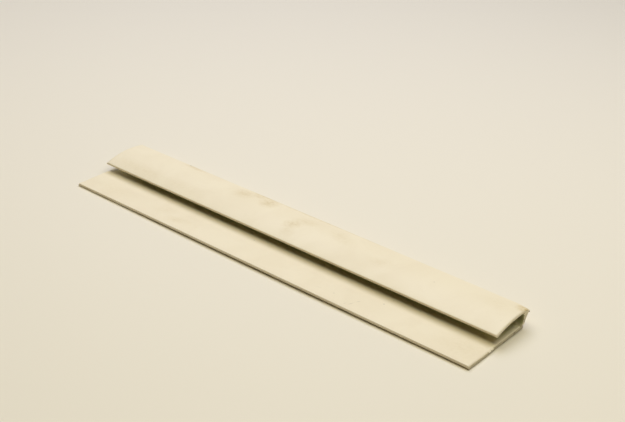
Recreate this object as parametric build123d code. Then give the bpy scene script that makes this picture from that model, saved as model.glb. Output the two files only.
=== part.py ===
from build123d import *
from math import asin, cos, sin
import os

# J-trim: one extruded PVC strip that finishes the raw edge of a thin wall panel.
# Sizes are in millimetres. X runs along the strip, Y from the flange's free edge
# to the nose, and Z up from the flange's back. The strip lies on its flange, and
# the origin is at the middle of its box, on that face.

# Strip
length = 194.0

# Flange: the wide flat leg that is glued or nailed to the wall
flange_width = 31.75
flange_thickness = 1.05

# Cap: the crowned leg that shows, sprung down towards the flange at its free lip
cap_thickness = 1.0
cap_radius = 35.0  # outer face of the crown
cap_height = 7.15  # high point of the crown above the back of the flange
lip_reach = 12.05  # high point to the free lip
nose_reach = 7.5  # high point to the nose
nose_overhang = 3.05  # nose past the back edge of the flange

# Web: leans out from the flange's back edge to the nose, and thickens to its head
web_foot = 1.25
web_head = 2.0
nose_lip = 0.6  # nose past the head of the web

# Roundings that the extrusion die leaves
pocket_radius = 0.5
lip_radius = 0.4  # outer corner of the free lip
lip_under_radius = 0.1  # its inner corner
edge_radius = 0.25
wall_round_share = 0.4  # the most of a wall or lip that a rounding may take up

crown_y = flange_width + nose_overhang - nose_reach
crown_centre_z = cap_height - cap_radius


# A point of the cap, at a reach from its high point and a depth below its outer face
def cap_point(reach, depth):
    turn = asin(reach / cap_radius)
    radius = cap_radius - depth
    return (crown_y + radius * sin(turn), crown_centre_z + radius * cos(turn))


def flange_profile():
    return Rectangle(flange_width, flange_thickness, align=(Align.MIN, Align.MIN))


# Two arcs about one centre, cut square to the wall at the lip and at the nose
def cap_profile():
    lip_top = cap_point(-lip_reach, 0)
    nose_top = cap_point(nose_reach, 0)
    lip_under = cap_point(-lip_reach, cap_thickness)
    nose_under = cap_point(nose_reach, cap_thickness)
    outline = Curve() + [
        ThreePointArc(lip_top, cap_point(0, 0), nose_top),
        Line(nose_top, nose_under),
        ThreePointArc(nose_under, cap_point(0, cap_thickness), lip_under),
        Line(lip_under, lip_top),
    ]
    return make_face(outline)


# The head of the web ends inside the cap's wall, so that the two join all the way
def web_profile():
    head_reach = nose_reach - nose_lip
    head_depth = cap_thickness / 2
    return Polygon(
        (flange_width - web_foot, flange_thickness),
        (flange_width, flange_thickness),
        cap_point(head_reach, head_depth),
        cap_point(head_reach - web_head, head_depth),
        align=None,
    )


# The section with the vertex nearest to each corner rounded
def rounded(section, radius, *corners):
    for corner in corners:
        vertex = section.vertices().sort_by_distance(Vector(*corner))[0]
        section = fillet(vertex, radius)
    return section


def trim_section():
    section = flange_profile() + web_profile() + cap_profile()
    flange_edge = min(edge_radius, wall_round_share * flange_thickness)
    lip_edge = min(lip_radius, wall_round_share * cap_thickness)
    lip_under_edge = min(lip_under_radius, wall_round_share * cap_thickness)
    nose_edge = min(edge_radius, wall_round_share * cap_thickness, wall_round_share * nose_lip)

    section = rounded(
        section,
        pocket_radius,
        (flange_width - web_foot, flange_thickness),
        cap_point(nose_reach - nose_lip - web_head, cap_thickness),
    )
    section = rounded(section, flange_edge, (0, 0), (0, flange_thickness), (flange_width, 0))
    section = rounded(section, lip_edge, cap_point(-lip_reach, 0))
    section = rounded(section, lip_under_edge, cap_point(-lip_reach, cap_thickness))
    return rounded(section, nose_edge, cap_point(nose_reach, 0), cap_point(nose_reach, cap_thickness))


# The section stands in the YZ plane, centred on its own width, and runs the strip's length
def j_trim():
    section = trim_section()
    middle = section.bounding_box().center().X
    start = Plane.YZ.offset(-length / 2) * Pos(-middle, 0)
    return extrude(start * section, amount=length)


os.makedirs("parts", exist_ok=True)
export_step(j_trim(), "parts/j_trim.step")
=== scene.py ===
import bmesh
import bpy
import math
from mathutils import Matrix, Vector, noise


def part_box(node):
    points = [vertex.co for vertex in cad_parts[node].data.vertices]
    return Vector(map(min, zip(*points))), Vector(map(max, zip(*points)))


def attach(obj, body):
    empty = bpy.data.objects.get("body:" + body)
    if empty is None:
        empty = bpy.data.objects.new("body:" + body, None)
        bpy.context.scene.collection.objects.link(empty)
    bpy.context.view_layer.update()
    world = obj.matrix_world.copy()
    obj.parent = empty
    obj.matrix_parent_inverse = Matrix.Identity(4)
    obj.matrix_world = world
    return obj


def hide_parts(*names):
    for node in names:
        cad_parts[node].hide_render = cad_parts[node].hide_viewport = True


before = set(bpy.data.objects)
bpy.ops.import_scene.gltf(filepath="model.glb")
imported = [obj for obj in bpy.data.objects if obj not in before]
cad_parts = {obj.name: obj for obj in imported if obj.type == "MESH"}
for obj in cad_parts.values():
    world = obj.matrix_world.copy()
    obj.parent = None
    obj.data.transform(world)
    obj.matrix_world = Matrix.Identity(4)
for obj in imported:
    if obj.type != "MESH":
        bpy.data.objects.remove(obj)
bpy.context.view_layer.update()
low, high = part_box("j_trim")
mm = 0.001
tiny = 1e-7  # m, closer than this is the same place
sharpAngle = 40  # degrees, past which an edge stays sharp
print("frame loaded, strip", [round((b - a) / mm, 2) for a, b in zip(low, high)], "mm")


def linear(hexColour):  # an sRGB hex value as linear RGBA
    parts = [int(hexColour[i:i + 2], 16) / 255 for i in (1, 3, 5)]
    return [c / 12.92 if c <= 0.04045 else ((c + 0.055) / 1.055) ** 2.4 for c in parts] + [1.0]


def ease(share):  # a soft step from 0 to 1
    t = min(max(share, 0), 1)
    return t * t * (3 - 2 * t)


def addNode(tree, kind, settings=None, inputs=None):  # an input is a value or another node's output
    node = tree.nodes.new(kind)
    for name, value in (settings or {}).items():
        setattr(node, name, value)
    for key, value in (inputs or {}).items():
        if isinstance(value, bpy.types.NodeSocket):
            tree.links.new(value, node.inputs[key])
        else:
            node.inputs[key].default_value = value
    return node


def newMaterial(name):
    material = bpy.data.materials.new(name)
    material.use_nodes = True
    material.node_tree.nodes.clear()
    return material, material.node_tree


def placeInMm(tree):  # a point's place on the piece, in mm
    place = addNode(tree, "ShaderNodeTexCoord")
    scaled = addNode(tree, "ShaderNodeMapping", inputs={
        "Vector": place.outputs["Object"], "Scale": (1 / mm,) * 3})
    return scaled.outputs[0]


def newPiece(name, bm, materials):
    for face in bm.faces:
        face.smooth = True
    mesh = bpy.data.meshes.new(name)
    bm.to_mesh(mesh)
    bm.free()
    for material in materials:
        mesh.materials.append(material)
    mesh.set_sharp_from_angle(angle=math.radians(sharpAngle))
    piece = bpy.data.objects.new(name, mesh)
    bpy.context.scene.collection.objects.link(piece)
    return piece


def stripPlace(point):  # along from 0 at the far end to 1 at the near end, then across and up in mm
    return (point.x - low.x) / (high.x - low.x), (point.y - low.y) / mm, point.z / mm


def keepInBox(bm):  # no point leaves the CAD box
    for vert in bm.verts:
        vert.co = [min(max(c, a), b) for c, a, b in zip(vert.co, low, high)]


# The strip: one extruded section, sawn off at both ends. Sizes in mm, across from the
# flange's front edge and up from its back.
strip = {
    "flangeWidth": 31.75,
    "flangeThickness": 1.05,
    "capThickness": 1.0,
    "capRadius": 35.0,
    "lipReach": 12.05,  # crown's high point to the free lip
    "noseReach": 7.5,  # crown's high point to the nose
    "noseOverhang": 3.05,
    "noseLip": 0.6,
    "webFoot": 1.25,
    "webHead": 2.0,
    "pocketMiddle": 3.5,  # height of the pocket's middle
    "pocketRadius": 0.5,
    "lipRadius": 0.4,
    "lipUnderRadius": 0.1,
    "edgeRadius": 0.25,
    "frontUnderRadius": 0.1,
    "noseRadius": 0.24,
    "capSteps": 40,
    "underSteps": 26,
    "roundSteps": 5,
    "edgeStep": 0.6,  # longest edge round the section
    "rows": 90,  # along the strip
    "endRows": (0.3, 0.7, 1.2, 1.8),  # closer rows by the sawn ends
    "curl": (0.15, 0.3, 0.37),  # lift of the flange's front edge: far end, middle, near end
    "curlMiddle": (0.35, 0.7),  # shares of the length between which the middle's lift holds
    "curlWidth": 16.0,
    "curlPower": 1.5,  # how fast the lift dies away across the flange
    "curlTop": 0.3,  # what lies this little above the flange lifts with it
    "spring": (-0.1, 0.17),  # rise of the lip at the far and the near end
    "springFrom": 3.0,  # height above which the cap springs
}
crownY = strip["flangeWidth"] + strip["noseOverhang"] - strip["noseReach"]  # high point, across

# The two saw cuts. Depths in mm, inwards from the end of the strip.
cut = {
    "depths": (0.02, 0.13),  # far end, near end
    "seeds": (-8.3, 5.7),  # the same order, so that each end has its own noise
    "uneven": 0.08,  # wander of the saw
    "unevenScale": (0.25, 0.4),  # per mm across and up, so about 4 mm long
    "tooth": 0.05,  # marks of its teeth
    "toothScale": (2.4, 0.7),  # the same, so about 0.4 mm wide
    "cell": 0.45,  # grid on the sawn faces
    "fade": 5.0,  # the walls follow the cut this far in
    "slack": 0.1,  # what is this close to a wall counts as on it
    "burr": 0.07,  # rim thrown up along the lower sawn edges
    "burrScale": 0.9,  # per mm, of its noise
    "burrSeed": (3.0, 0.0, 0.0),
    "burrMore": 0.35,  # added to the noise, so that the rim covers more than half of the edge
    "worn": 0.16,  # rounding of the upper sawn edges
    "wornFrom": 0.3,  # a wall whose normal rises more than this has an upper edge
    "step": 0.2,  # near end: the flange's cut steps in this far
    "stepFrom": 10.0,  # across
    "stepWidth": 2.0,
    "slant": 0.25,  # and leans in towards the flange's upper edge
    "tears": [  # near end: across, up, radius, extra depth
        (31.9, 2.3, 0.25, 0.4),
        (31.9, 4.4, 0.35, 0.4),
        (34.6, 6.0, 0.9, -0.4),
    ],
    "tearRagged": 0.6,  # share of a tear's depth that varies
    "tearScale": 3.0,  # per mm
    "webBulge": 0.15,  # the web's torn near end leans out this far
    "bulgeAt": 3.8,  # up
    "bulgeSize": 1.2,
    "noseDroop": 0.5,  # and the nose's corner is bent down
    "droopFrom": 1.6,  # past the flange's back edge
    "droopWidth": 1.4,
    "roll": 0.4,  # the cap's and the flange's upper edges are rolled down
    "rollWidth": 0.8,
    "rollDeep": 0.4,  # below the cap's outer face
    "rollFlange": (0.7, 1.6),  # heights between which the flange's upper edge lies
}


def drawSection(bm):  # the section as one face at the near end, with the die's roundings
    s = strip
    centre = Vector((high.x, low.y + crownY * mm, high.z - s["capRadius"] * mm))

    def corner(y, z):
        return bm.verts.new((high.x, low.y + y * mm, z * mm))

    def capCorner(reach, depth):
        turn = math.asin(reach / s["capRadius"])
        radius = (s["capRadius"] - depth) * mm
        return bm.verts.new(centre + radius * Vector((0, math.sin(turn), math.cos(turn))))

    def capArc(vert, fromReach, toReach, steps):  # the arc's far end
        turn = math.asin(toReach / s["capRadius"]) - math.asin(fromReach / s["capRadius"])
        arc = bmesh.ops.spin(bm, geom=[vert], cent=centre, axis=(-1, 0, 0), angle=turn, steps=steps)
        return next(v for v in arc["geom_last"] if isinstance(v, bmesh.types.BMVert))

    headReach = s["noseReach"] - s["noseLip"]
    backUnder = corner(s["flangeWidth"], 0)
    frontUnder = corner(0, 0)
    frontTop = corner(0, s["flangeThickness"])
    webInner = corner(s["flangeWidth"] - s["webFoot"], s["flangeThickness"])
    headInner = capCorner(headReach - s["webHead"], s["capThickness"])
    lipUnder = capArc(headInner, headReach - s["webHead"], -s["lipReach"], s["underSteps"])
    lipTop = capCorner(-s["lipReach"], 0)
    noseTop = capArc(lipTop, -s["lipReach"], s["noseReach"], s["capSteps"])
    noseUnder = capCorner(s["noseReach"], s["capThickness"])
    headOuter = capCorner(headReach, s["capThickness"])
    webOuter = corner(s["flangeWidth"], s["flangeThickness"])
    runs = [
        (backUnder, frontUnder), (frontUnder, frontTop), (frontTop, webInner), (webInner, headInner),
        (lipUnder, lipTop), (noseTop, noseUnder), (noseUnder, headOuter), (headOuter, webOuter),
        (webOuter, backUnder),
    ]
    for a, b in runs:
        bm.edges.new((a, b))
    bmesh.ops.contextual_create(bm, geom=bm.edges[:])

    roundings = [
        ([backUnder, frontTop], s["edgeRadius"]),
        ([frontUnder], s["frontUnderRadius"]),
        ([lipTop], s["lipRadius"]),
        ([lipUnder], s["lipUnderRadius"]),
        ([noseTop, noseUnder], s["noseRadius"]),
        ([webInner, headInner], s["pocketRadius"]),
    ]
    for corners, radius in roundings:
        bmesh.ops.bevel(bm, geom=corners, offset=radius * mm, segments=s["roundSteps"], profile=0.5,
                        affect="VERTICES", material=-1, clamp_overlap=True)
    for edge in bm.edges[:]:
        cuts = int(edge.calc_length() / (s["edgeStep"] * mm))
        if cuts:
            bmesh.ops.subdivide_edges(bm, edges=[edge], cuts=cuts)


def extrudeStrip(bm):  # the section run out to the far end and cut into rows
    length = high.x - low.x
    grown = bmesh.ops.extrude_face_region(bm, geom=bm.faces[:])
    moved = [v for v in grown["geom"] if isinstance(v, bmesh.types.BMVert)]
    bmesh.ops.translate(bm, verts=moved, vec=(-length, 0, 0))
    bmesh.ops.recalc_face_normals(bm, faces=bm.faces[:])
    longEdges = [e for e in bm.edges if e.calc_length() > length / 2]
    bmesh.ops.subdivide_edges(bm, edges=longEdges, cuts=strip["rows"], use_grid_fill=True)
    for inset in strip["endRows"]:
        for x in (low.x + inset * mm, high.x - inset * mm):
            bmesh.ops.bisect_plane(bm, geom=bm.verts[:] + bm.edges[:] + bm.faces[:], dist=tiny,
                                   plane_co=(x, 0, 0), plane_no=(1, 0, 0))


def cutDepth(place, near):  # how far in the saw went at a point of an end
    along, across, up = stripPlace(place)
    end = 1 if near else 0

    def rough(scale):
        return noise.noise((cut["seeds"][end], across * scale[0], up * scale[1]))

    wander = cut["uneven"] * rough(cut["unevenScale"])
    depth = cut["depths"][end] + wander + cut["tooth"] * rough(cut["toothScale"])
    if near:
        if up < strip["flangeThickness"] + cut["slack"]:
            depth += cut["step"] * ease((across - cut["stepFrom"]) / cut["stepWidth"])
            depth += cut["slant"] * up / strip["flangeThickness"]
        for tearAcross, tearUp, radius, extra in cut["tears"]:
            away = math.hypot(across - tearAcross, up - tearUp) / radius
            ragged = noise.noise((up * cut["tearScale"], across * cut["tearScale"], 2.0))
            depth += extra * math.exp(-away * away) * (1 + cut["tearRagged"] * ragged)
    return max(depth, 0)


def endFaces(bm, endX):
    return [f for f in bm.faces if all(abs(v.co.x - endX) < 10 * tiny for v in f.verts)]


def gridEnd(bm, endX):  # cuts an end into cells that the saw can press in
    cell = cut["cell"] * mm
    for axis in (1, 2):
        normal = Vector((0, int(axis == 1), int(axis == 2)))
        for step in range(1, int((high[axis] - low[axis]) / cell) + 1):
            faces = endFaces(bm, endX)
            edges = list({e for f in faces for e in f.edges})
            verts = list({v for f in faces for v in f.verts})
            bmesh.ops.bisect_plane(bm, geom=verts + edges + faces, dist=tiny, plane_no=normal,
                                   plane_co=normal * (low[axis] + step * cell))


def sawEnds(bm):  # each end pressed in unevenly, with burrs on its lower rims and wear on its upper ones
    for endX, inward in ((low.x, 1), (high.x, -1)):
        gridEnd(bm, endX)
        faces = endFaces(bm, endX)
        for face in faces:
            face.material_index = 1
        bm.normal_update()
        for vert in {v for f in faces for v in f.verts}:
            walls = [f.normal for f in vert.link_faces if f.material_index == 0]
            if walls:
                wall = sum(walls, Vector()).normalized()
                ragged = noise.noise(vert.co / mm * cut["burrScale"] + Vector(cut["burrSeed"]))
                lift = cut["burr"] * max(ragged + cut["burrMore"], 0)
                if wall.z > cut["wornFrom"]:
                    lift = -cut["worn"]
                vert.co += wall * lift * mm
        for vert in bm.verts:
            inside = (vert.co.x - endX) * inward / (cut["fade"] * mm)
            if inside < 1:
                vert.co.x += inward * cutDepth(vert.co, inward < 0) * (1 - inside) * mm


def curlFlange(bm):  # the flange's front edge has curled up off the floor
    s = strip
    far, middle, near = s["curl"]
    middleFrom, middleTo = s["curlMiddle"]
    for vert in bm.verts:
        along, across, up = stripPlace(vert.co)
        if across < s["curlWidth"] and up < s["flangeThickness"] + s["curlTop"]:
            lift = far + (middle - far) * ease(along / middleFrom)
            lift += (near - middle) * ease((along - middleTo) / (1 - middleTo))
            vert.co.z += lift * (1 - across / s["curlWidth"]) ** s["curlPower"] * mm


def springLip(bm):  # the lip has sprung, down at the far end and up at the near one
    far, near = strip["spring"]
    for vert in bm.verts:
        along, across, up = stripPlace(vert.co)
        if across < crownY and up > strip["springFrom"]:
            rise = far + (near - far) * along
            vert.co.z += rise * ((crownY - across) / strip["lipReach"]) ** 2 * mm


def rollEdges(bm):  # the upper edges of the sawn ends are rolled down
    s = strip
    flangeLow, flangeHigh = cut["rollFlange"]
    for vert in bm.verts:
        along, across, up = stripPlace(vert.co)
        toEnd = min(vert.co.x - low.x, high.x - vert.co.x) / mm
        fromCentre = math.hypot(across - crownY, (vert.co.z - high.z) / mm + s["capRadius"])
        onCap = fromCentre > s["capRadius"] - cut["rollDeep"]
        onFlange = flangeLow < up < flangeHigh and across < s["flangeWidth"] - s["webFoot"]
        if toEnd < cut["rollWidth"] and (onCap or onFlange):
            vert.co.z -= cut["roll"] * (1 - toEnd / cut["rollWidth"]) ** 2 * mm


def bendNose(bm):  # at the near end the web leans out and the nose is bent down
    backEdge = strip["flangeWidth"]
    for vert in bm.verts:
        along, across, up = stripPlace(vert.co)
        if across > backEdge - strip["webFoot"] - cut["slack"]:
            byEnd = ease(1 - (high.x - vert.co.x) / (cut["fade"] * mm))
            bulge = math.exp(-((up - cut["bulgeAt"]) / cut["bulgeSize"]) ** 2)
            droop = ease((across - backEdge - cut["droopFrom"]) / cut["droopWidth"])
            vert.co.y += cut["webBulge"] * bulge * byEnd * mm
            vert.co.z -= cut["noseDroop"] * droop * byEnd * mm


def markPocket(bm):  # an attribute that is 1 on the faces that look into the pocket
    layer = bm.faces.layers.float.new("pocket")
    bm.normal_update()
    for face in bm.faces:
        middle = face.calc_center_median()
        toPocket = Vector((middle.x, low.y + crownY * mm, strip["pocketMiddle"] * mm)) - middle
        face[layer] = float(face.normal.dot(toPocket) > 0)


def buildStrip():
    bm = bmesh.new()
    drawSection(bm)
    extrudeStrip(bm)
    sawEnds(bm)
    curlFlange(bm)
    springLip(bm)
    rollEdges(bm)
    bendNose(bm)
    keepInBox(bm)
    markPocket(bm)
    return bm


# Extruded rigid PVC, ivory: satin from the die, with faint lines along the strip. Handling has left
# it cloudy, with thin brown smears, a few scratches and specks of dirt. Painted shade darkens the pocket,
# the cap's back edge, the nose by the near end and the web's inner corner there.
pvc = {
    "ivory": "#EDE1C5",
    "cloud": "#E9DCBF",
    # smears, and painted shade on the cap's back edge and on the nose by the near end
    "smearAndShade": "#CDB888",
    # specks of dirt, and painted shade in the web's inner corner by the near end
    "dirtAndShade": "#5A4A2E",
    # painted shade: a greyish olive that darkens and tints the pocket
    "pocketShade": "#B9BA86",
    "pocketShadeFrom": -3.0,  # mm, where the pocket's painted shade begins and where it is thickest
    "pocketShadeTo": 6.0,
    "pocketShadeEnd": 18.0,  # mm from the ends, where it thins out on the pocket's floor
    "pocketShadeLeft": 0.2,  # share of it left there
    "pocketShadeFloor": (1.2, 2.2),  # mm up, where the pocket's floor ends
    "cloudSize": 16.0,  # mm
    "cloudEdge": (0.4, 0.7),  # noise at which the cloud begins and is full
    "smearEdge": 2.2,  # mm, raggedness of the smears
    "patchSize": 1.111,  # mm, patches within them
    "patchEdge": (0.3, 0.7),  # noise at which a patch is thinnest and thickest
    "patchShare": (0.5, 1.4),  # how much of the smear is left there
    "dieLine": 0.5,  # mm between the die's lines, coarser than they are so that they show
    "dieLineLength": 62.5,  # mm that they run before they change
    "dieLineHeight": 0.02,  # mm
    "ior": 1.53,
    "roughness": 0.48,
    "cloudDulls": 0.06,  # added to the roughness
    "smearDulls": 0.15,
}
smearsAndShade = [  # place and half sizes in mm, turn about Z in degrees, strength
    ((-31.0, 13.0, 6.9), (6.0, 4.6, 4.0), 20, 0.45),
    ((-25.5, 15.3, 6.7), (6.0, 2.2, 3.0), 5, 0.4),
    ((-18.4, 13.6, 6.9), (5.2, 4.6, 4.0), 10, 0.6),
    ((-0.4, 7.2, 7.0), (4.8, 3.8, 3.0), 45, 0.5),
    ((2.6, 11.4, 7.0), (7.0, 3.4, 3.0), 15, 0.28),
    ((0.6, 2.6, 6.3), (4.0, 3.6, 3.0), 0, 0.22),
    # painted shade along the cap's back edge, where it falls away
    ((-62.5, 16.4, 6.4), (8.0, 1.6, 2.0), 0, 0.5),
    ((-22.0, 17.0, 6.3), (11.0, 1.6, 2.0), 0, 0.7),
    ((4.0, 17.3, 6.3), (40.0, 1.3, 1.5), 0, 0.5),
    ((19.8, 11.3, 7.1), (8.0, 3.8, 3.0), -10, 0.22),
    ((41.6, 6.9, 7.0), (7.0, 3.4, 3.0), 10, 0.15),
    # painted shade on the nose by the near end, where its corner is bent down
    ((96.4, 15.4, 6.4), (4.0, 3.8, 3.0), -10, 1.1),
    ((88.0, 12.2, 7.0), (8.0, 5.0, 3.0), 0, 0.15),
    ((-78.0, 1.6, 6.1), (18.0, 4.5, 3.0), 0, 0.2),
    ((-55.0, 2.0, 6.2), (15.0, 4.0, 3.0), 0, 0.14),
    ((-43.8, -12.5, 1.2), (8.0, 3.0, 2.0), 20, 0.25),
    ((-52.0, -8.8, 1.1), (7.0, 4.0, 2.0), 40, 0.16),
    ((90.0, -9.5, 1.2), (14.0, 10.0, 2.5), 0, 0.18),
    ((-84.0, -11.0, 1.1), (17.0, 8.0, 2.5), 0, 0.14),
]
specksAndShade = [  # the same, darker and mostly small
    ((-65.8, 16.9, 6.4), (1.0, 0.5, 0.6), 0, 0.4),
    ((63.9, 8.6, 7.1), (0.42, 0.42, 0.42), 0, 0.25),
    ((94.0, 4.3, 6.7), (0.6, 0.5, 0.5), 0, 0.08),
    ((-10.1, -3.8, 1.1), (0.45, 0.4, 0.4), 0, 0.4),
    ((36.5, -12.4, 1.3), (0.45, 0.45, 0.45), 0, 0.25),
    ((53.9, -6.3, 1.1), (0.5, 0.45, 0.45), 0, 0.35),
    ((55.1, -2.4, 1.1), (0.4, 0.35, 0.4), 0, 0.4),
    ((66.1, -1.7, 1.1), (0.4, 0.4, 0.4), 0, 0.4),
    ((45.3, -13.6, 1.3), (1.6, 0.2, 0.5), 66, 0.35),
    ((46.4, -11.0, 1.2), (1.1, 0.18, 0.5), 62, 0.35),
    ((43.6, -14.9, 1.4), (0.9, 0.2, 0.5), 60, 0.3),
    ((30.0, -12.9, 1.3), (1.5, 0.14, 0.5), 24, 0.25),
    ((95.5, 13.9, 3.6), (4.5, 1.5, 3.0), 0, 0.8),  # painted shade inside the web, by the near end
]


def markShare(tree, marks, position):  # how strongly a list of marks covers a point
    share = 0.0
    for place, size, turn, strength in marks:
        local = addNode(tree, "ShaderNodeMapping", {"vector_type": "TEXTURE"}, {
            "Vector": position, "Location": place, "Rotation": (0, 0, math.radians(turn)), "Scale": size})
        spot = addNode(tree, "ShaderNodeTexGradient", {"gradient_type": "SPHERICAL"}, {
            "Vector": local.outputs[0]})
        mark = addNode(tree, "ShaderNodeMath", {"operation": "MULTIPLY"}, {
            0: spot.outputs["Fac"], 1: strength})
        most = addNode(tree, "ShaderNodeMath", {"operation": "MAXIMUM"}, {0: mark.outputs[0], 1: share})
        share = most.outputs[0]
    return share


def smearAndShadeCover(tree, inMm):  # smears and painted shade, with ragged edges and patches
    drift = addNode(tree, "ShaderNodeTexNoise", inputs={
        "Vector": inMm, "Scale": 1 / pvc["smearEdge"], "Detail": 3.0, "Roughness": 0.6})
    aside = addNode(tree, "ShaderNodeVectorMath", {"operation": "SUBTRACT"}, {
        0: drift.outputs["Color"], 1: (0.5, 0.5, 0.5)})
    strayed = addNode(tree, "ShaderNodeVectorMath", {"operation": "MULTIPLY_ADD"}, {
        0: aside.outputs[0], 1: (pvc["smearEdge"],) * 3, 2: inMm})
    grain = addNode(tree, "ShaderNodeTexNoise", inputs={
        "Vector": inMm, "Scale": 1 / pvc["patchSize"], "Detail": 2.0})
    patchy = addNode(tree, "ShaderNodeMapRange", inputs={
        "Value": grain.outputs["Fac"],
        "From Min": pvc["patchEdge"][0], "From Max": pvc["patchEdge"][1],
        "To Min": pvc["patchShare"][0], "To Max": pvc["patchShare"][1]})
    cover = addNode(tree, "ShaderNodeMath", {"operation": "MULTIPLY"}, {
        0: markShare(tree, smearsAndShade, strayed.outputs[0]), 1: patchy.outputs[0]})
    return cover.outputs[0]


def pocketShadeCover(tree, inMm):  # painted shade in the pocket, thicker further in and thin on the floor by the ends
    pocket = addNode(tree, "ShaderNodeAttribute", {"attribute_name": "pocket"})
    parts = addNode(tree, "ShaderNodeSeparateXYZ", inputs={0: inMm})
    depth = addNode(tree, "ShaderNodeMapRange", {"interpolation_type": "SMOOTHSTEP"}, {
        "Value": parts.outputs["Y"], "From Min": pvc["pocketShadeFrom"], "From Max": pvc["pocketShadeTo"]})
    fromMiddle = addNode(tree, "ShaderNodeMath", {"operation": "ABSOLUTE"}, {0: parts.outputs["X"]})
    byEnd = addNode(tree, "ShaderNodeMapRange", {"interpolation_type": "SMOOTHSTEP"}, {
        "Value": fromMiddle.outputs[0], "From Min": high.x / mm - pvc["pocketShadeEnd"], "From Max": high.x / mm,
        "To Min": 1.0, "To Max": pvc["pocketShadeLeft"]})
    offFloor = addNode(tree, "ShaderNodeMapRange", inputs={
        "Value": parts.outputs["Z"], "From Min": pvc["pocketShadeFloor"][0], "From Max": pvc["pocketShadeFloor"][1]})
    thinned = addNode(tree, "ShaderNodeMath", {"operation": "MAXIMUM"}, {
        0: byEnd.outputs[0], 1: offFloor.outputs[0]})
    inPocket = addNode(tree, "ShaderNodeMath", {"operation": "MULTIPLY"}, {
        0: pocket.outputs["Fac"], 1: depth.outputs[0]})
    cover = addNode(tree, "ShaderNodeMath", {"operation": "MULTIPLY"}, {
        0: inPocket.outputs[0], 1: thinned.outputs[0]})
    return cover.outputs[0]


def extrudedPvc():
    material, tree = newMaterial("extruded_ivory_pvc")
    inMm = placeInMm(tree)
    cloud = addNode(tree, "ShaderNodeTexNoise", inputs={
        "Vector": inMm, "Scale": 1 / pvc["cloudSize"], "Detail": 4.0, "Roughness": 0.6, "Distortion": 0.6})
    cloudShare = addNode(tree, "ShaderNodeMapRange", inputs={
        "Value": cloud.outputs["Fac"], "From Min": pvc["cloudEdge"][0], "From Max": pvc["cloudEdge"][1]})
    # smears, and painted shade on the cap's back edge and the nose
    smearAndShadeShare = smearAndShadeCover(tree, inMm)
    clouded = addNode(tree, "ShaderNodeMix", {"data_type": "RGBA"}, {
        "Factor": cloudShare.outputs[0], 6: linear(pvc["ivory"]), 7: linear(pvc["cloud"])})
    smearedAndShaded = addNode(tree, "ShaderNodeMix", {"data_type": "RGBA"}, {
        "Factor": smearAndShadeShare, 6: clouded.outputs[2], 7: linear(pvc["smearAndShade"])})
    # painted shade in the pocket
    pocketShaded = addNode(tree, "ShaderNodeMix", {"data_type": "RGBA"}, {
        "Factor": pocketShadeCover(tree, inMm), 6: smearedAndShaded.outputs[2], 7: linear(pvc["pocketShade"])})
    colour = addNode(tree, "ShaderNodeMix", {"data_type": "RGBA"}, {
        "Factor": markShare(tree, specksAndShade, inMm), 6: pocketShaded.outputs[2], 7: linear(pvc["dirtAndShade"])})

    dull = addNode(tree, "ShaderNodeMath", {"operation": "MULTIPLY_ADD"}, {
        0: cloudShare.outputs[0], 1: pvc["cloudDulls"], 2: pvc["roughness"]})
    duller = addNode(tree, "ShaderNodeMath", {"operation": "MULTIPLY_ADD"}, {
        0: smearAndShadeShare, 1: pvc["smearDulls"], 2: dull.outputs[0]})

    stretched = addNode(tree, "ShaderNodeMapping", inputs={
        "Vector": inMm, "Scale": (pvc["dieLine"] / pvc["dieLineLength"], 1.0, 1.0)})
    dieLines = addNode(tree, "ShaderNodeTexNoise", inputs={
        "Vector": stretched.outputs[0], "Scale": 1 / pvc["dieLine"], "Detail": 2.0})
    relief = addNode(tree, "ShaderNodeBump", inputs={
        "Height": dieLines.outputs["Fac"], "Strength": 0.35, "Distance": pvc["dieLineHeight"] * mm})
    shader = addNode(tree, "ShaderNodeBsdfPrincipled", inputs={
        "Base Color": colour.outputs[2], "Roughness": duller.outputs[0], "IOR": pvc["ior"],
        "Normal": relief.outputs[0]})
    addNode(tree, "ShaderNodeOutputMaterial", inputs={"Surface": shader.outputs[0]})
    return material


# Sawn PVC: rough and matt, ridged by the saw's teeth, a little paler than the ivory as painted light, and
# darker along its lowest edge as painted shade
sawn = {
    # painted light: raised above the sawn PVC's own colour so that the end faces look lighter
    "bareAndLit": "#F2E6C6",
    # painted shade, darker towards the bottom of the sawn faces
    "lowShade": "#6F6142",
    "lowShadeFrom": 0.4,  # mm up from the flange's back, where the painted shade begins to thin
    "lowShadeTo": 1.3,
    "lowShadeShare": (0.48, 0.06),  # below and above
    "mottle": 0.8,  # mm, how far its edge strays
    "mottleSize": 1.111,  # mm
    "toothLine": 0.8,  # mm between the saw's ridges
    "toothHeight": 0.08,  # mm
    "roughness": 0.75,
}
sawnShadeSpots = [  # as the smears; painted shade in the web's torn pits, at the nose's tip and low on the flange's cut
    ((96.9, 17.3, 5.6), (1.2, 1.0, 1.0), 0, 1.2),
    ((96.6, 14.7, 2.7), (1.0, 0.8, 0.9), 0, 1.1),
    ((96.4, 14.5, 4.5), (0.9, 0.6, 0.9), 0, 0.8),
    ((96.5, 9.2, 0.3), (0.9, 2.0, 0.9), 0, 0.9),
]


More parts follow.
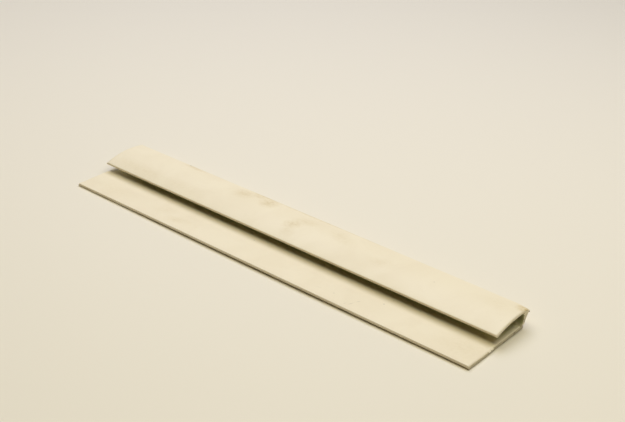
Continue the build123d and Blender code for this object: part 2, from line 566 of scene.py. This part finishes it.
def sawnPvc():
    material, tree = newMaterial("sawn_ivory_pvc")
    inMm = placeInMm(tree)
    parts = addNode(tree, "ShaderNodeSeparateXYZ", inputs={0: inMm})
    mottle = addNode(tree, "ShaderNodeTexNoise", inputs={
        "Vector": inMm, "Scale": 1 / sawn["mottleSize"], "Detail": 3.0})
    height = addNode(tree, "ShaderNodeMath", {"operation": "MULTIPLY_ADD"}, {
        0: mottle.outputs["Fac"], 1: sawn["mottle"], 2: parts.outputs["Z"]})
    raised = sawn["mottle"] / 2  # the noise is about a half on average
    # painted shade, darker towards the bottom of the sawn faces
    lowShadeShare = addNode(tree, "ShaderNodeMapRange", inputs={
        "Value": height.outputs[0],
        "From Min": sawn["lowShadeFrom"] + raised, "From Max": sawn["lowShadeTo"] + raised,
        "To Min": sawn["lowShadeShare"][0], "To Max": sawn["lowShadeShare"][1]})
    # painted shade: low on the sawn faces and at the spots, whichever is darker
    darkest = addNode(tree, "ShaderNodeMath", {"operation": "MAXIMUM"}, {
        0: lowShadeShare.outputs[0], 1: markShare(tree, sawnShadeSpots, inMm)})
    colour = addNode(tree, "ShaderNodeMix", {"data_type": "RGBA"}, {
        "Factor": darkest.outputs[0], 6: linear(sawn["bareAndLit"]), 7: linear(sawn["lowShade"])})
    ridges = addNode(tree, "ShaderNodeTexWave", {"bands_direction": "Y"}, {  # its period is 0.314 / Scale
        "Vector": inMm, "Scale": 0.314 / sawn["toothLine"], "Distortion": 2.5, "Detail": 2.0})
    relief = addNode(tree, "ShaderNodeBump", inputs={
        "Height": ridges.outputs["Fac"], "Strength": 0.6, "Distance": sawn["toothHeight"] * mm})
    shader = addNode(tree, "ShaderNodeBsdfPrincipled", inputs={
        "Base Color": colour.outputs[2], "Roughness": sawn["roughness"], "IOR": pvc["ior"],
        "Normal": relief.outputs[0]})
    addNode(tree, "ShaderNodeOutputMaterial", inputs={"Surface": shader.outputs[0]})
    return material


# Torn PVC: stretched pale where the saw pulled it, and matt
torn = {
    "colour": "#EDE2C6",
    "roughness": 0.7,
}


def tornPvc():
    material, tree = newMaterial("torn_ivory_pvc")
    shader = addNode(tree, "ShaderNodeBsdfPrincipled", inputs={
        "Base Color": linear(torn["colour"]), "Roughness": torn["roughness"], "IOR": pvc["ior"]})
    addNode(tree, "ShaderNodeOutputMaterial", inputs={"Surface": shader.outputs[0]})
    return material


# Burrs: thin flaps that the saw left hanging on the near end. Sizes in mm.
burrs = {
    "thickness": 0.06,
    "taper": 0.6,  # share of its length that a flap loses towards its free edge
    "curl": 2.3,  # radians that it curls through
    "cells": (8, 5),  # along and down
    "ragged": (0.06, 0.6),  # how far it strays outwards, and the share of its drop that varies
    "raggedScale": (4, 3),  # of that noise, along and down
    "seedStep": 7,  # in that noise from one flap to the next
    "sunk": 0.03,  # how deep its root sits in the sawn face
    "flaps": [  # across, up, length, drop, how far it stands off, turn about X in degrees
        (13.5, 1.02, 1.6, 0.5, 0.5, 3),
        (11.9, 1.0, 1.9, 0.6, 0.56, -8),
        (10.3, 1.05, 0.8, 0.35, 0.14, -6),
        (15.2, 1.05, 1.2, 0.3, 0.1, 8),
        (31.6, 3.1, 0.8, 0.4, 0.16, 20),
        (31.5, 5.6, 0.7, 0.35, 0.14, 10),
        (33.3, 4.6, 1.3, 0.35, 0.12, 66),
    ],
}


def buildBurrs():
    bm = bmesh.new()
    strayOut, strayDown = burrs["ragged"]
    alongScale, downScale = burrs["raggedScale"]
    alongCells, downCells = burrs["cells"]
    for seed, (across, up, length, drop, standOff, turn) in enumerate(burrs["flaps"]):
        sheet = bmesh.ops.create_grid(bm, x_segments=alongCells, y_segments=downCells, size=0.5)["verts"]
        for vert in sheet:
            along, down = vert.co.x, 0.5 - vert.co.y  # down is 0 at the root and 1 at the free edge
            ragged = noise.noise((along * alongScale + seed * burrs["seedStep"], down * downScale, seed))
            out = standOff * math.sin(down * burrs["curl"]) + strayOut * ragged
            width = length * (1 - burrs["taper"] * down)
            vert.co = (out, along * width, -down * drop * (1 + strayDown * ragged))
        root = Vector((high.x, low.y + across * mm, up * mm))
        root.x -= (cutDepth(root, True) + burrs["sunk"]) * mm
        turned = Matrix.Rotation(math.radians(turn), 4, "X")
        placing = Matrix.Translation(root) @ turned @ Matrix.Scale(mm, 4)
        bmesh.ops.transform(bm, matrix=placing, verts=sheet)
        flap = list({f for v in sheet for f in v.link_faces})
        bmesh.ops.solidify(bm, geom=flap, thickness=burrs["thickness"] * mm)
    bmesh.ops.recalc_face_normals(bm, faces=bm.faces[:])
    keepInBox(bm)
    return bm


trimStrip = newPiece("trim_strip", buildStrip(), [extrudedPvc(), sawnPvc()])
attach(trimStrip, "root")
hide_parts("j_trim")
print("strip built,", len(trimStrip.data.polygons), "faces")

sawBurrs = newPiece("saw_burrs", buildBurrs(), [tornPvc()])
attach(sawBurrs, "root")
print("burrs built,", len(sawBurrs.data.polygons), "faces")

# Studio: a pale floor under a wide overhead softbox in quarters, cool at the back and warm at the front
studio = {
    "floor": "#E8E0CE",
    "floorRoughness": 0.6,
    "floorSize": 6.0,  # m
    "sheetSize": 0.5,  # m, the part of the floor round the strip
    "sheetCells": 100,
    "sags": [  # shallow hollows in it, place, size and depth in mm
        ((10.0, -20.0), (95.0, 25.0), 0.55),
        ((100.0, 9.5), (22.0, 13.0), 0.5),
    ],
    "softboxSize": (0.5, 0.34),  # m, each quarter, along the strip and across it
    "softboxes": [  # place in m, power in W, colour
        ((-0.27, 0.268, 0.566), 1.91, "#DCE1FD"),
        ((0.23, 0.268, 0.566), 1.58, "#F2F4FD"),
        ((-0.27, -0.068, 0.634), 1.5, "#FFFDF3"),
        ((0.23, -0.068, 0.634), 1.58, "#FFF8CB"),
    ],
    "softboxTilt": 12.2,  # degrees towards the front
    "fill": 0.008,  # strength of the world's light on the strip and the floor
}


def buildStudio():
    material, tree = newMaterial("painted_pale_floor")
    shader = addNode(tree, "ShaderNodeBsdfPrincipled", inputs={
        "Base Color": linear(studio["floor"]), "Roughness": studio["floorRoughness"]})
    addNode(tree, "ShaderNodeOutputMaterial", inputs={"Surface": shader.outputs[0]})
    bm = bmesh.new()
    cells = studio["sheetCells"]
    bmesh.ops.create_grid(bm, x_segments=cells, y_segments=cells, size=studio["sheetSize"] / 2)
    for (sagX, sagY), (sagLong, sagWide), sag in studio["sags"]:
        for vert in bm.verts:
            away = ((vert.co.x / mm - sagX) / sagLong) ** 2 + ((vert.co.y / mm - sagY) / sagWide) ** 2
            vert.co.z -= sag * math.exp(-away) * mm
    rim = bmesh.ops.extrude_edge_only(bm, edges=[e for e in bm.edges if e.is_boundary])
    outer = [v for v in rim["geom"] if isinstance(v, bmesh.types.BMVert)]
    spread = studio["floorSize"] / studio["sheetSize"]
    bmesh.ops.scale(bm, verts=outer, vec=(spread, spread, 1.0))
    floor = newPiece("floor", bm, [material])

    for place, power, colour in studio["softboxes"]:
        lamp = bpy.data.lights.new("softbox", "AREA")
        lamp.shape = "RECTANGLE"
        lamp.size, lamp.size_y = studio["softboxSize"]
        lamp.energy = power
        lamp.color = linear(colour)[:3]
        softbox = bpy.data.objects.new("softbox", lamp)
        softbox.location = place
        softbox.rotation_euler = (-math.radians(studio["softboxTilt"]), 0, 0)
        bpy.context.scene.collection.objects.link(softbox)

    world = bpy.data.worlds.new("studio")
    bpy.context.scene.world = world
    world.use_nodes = True
    tree = world.node_tree
    tree.nodes.clear()
    path = addNode(tree, "ShaderNodeLightPath")
    seen = addNode(tree, "ShaderNodeMath", {"operation": "MAXIMUM"}, {
        0: path.outputs["Is Camera Ray"], 1: path.outputs["Is Glossy Ray"]})
    seenOrThrough = addNode(tree, "ShaderNodeMath", {"operation": "MAXIMUM"}, {
        0: seen.outputs[0], 1: path.outputs["Is Transmission Ray"]})
    fill = addNode(tree, "ShaderNodeBackground", inputs={
        "Color": linear(studio["floor"]), "Strength": studio["fill"]})
    pale = addNode(tree, "ShaderNodeBackground", inputs={"Color": linear(studio["floor"]), "Strength": 1.0})
    sky = addNode(tree, "ShaderNodeMixShader", inputs={
        0: seenOrThrough.outputs[0], 1: fill.outputs[0], 2: pale.outputs[0]})
    addNode(tree, "ShaderNodeOutputWorld", inputs={"Surface": sky.outputs[0]})


buildStudio()
print("studio built")

# Camera, fitted to the edges and corners of the strip in the photograph
photoCamera = {
    "focalPixels": 1188.7,
    "imageWidth": 625,
    "sensorWidth": 36.0,  # mm
    "clipStart": 10.0,  # mm
    "place": (262.23, -280.13, 223.90),  # mm
    "lookDown": 28.507,  # degrees
    "turn": 41.343,
    "roll": -0.095,
}


def buildCamera():
    c = photoCamera
    lens = bpy.data.cameras.new("camera")
    lens.sensor_fit = "HORIZONTAL"
    lens.sensor_width = c["sensorWidth"]
    lens.lens = c["focalPixels"] * lens.sensor_width / c["imageWidth"]
    lens.clip_start = c["clipStart"] * mm
    camera = bpy.data.objects.new("camera", lens)
    turn = Matrix.Rotation(math.radians(c["turn"]), 4, "Z")
    tip = Matrix.Rotation(math.radians(90 - c["lookDown"]), 4, "X")
    roll = Matrix.Rotation(math.radians(c["roll"]), 4, "Z")
    camera.matrix_world = Matrix.Translation(Vector(c["place"]) * mm) @ turn @ tip @ roll
    bpy.context.scene.collection.objects.link(camera)
    bpy.context.scene.camera = camera


buildCamera()
bpy.context.scene.view_settings.view_transform = "Standard"
print("camera placed")
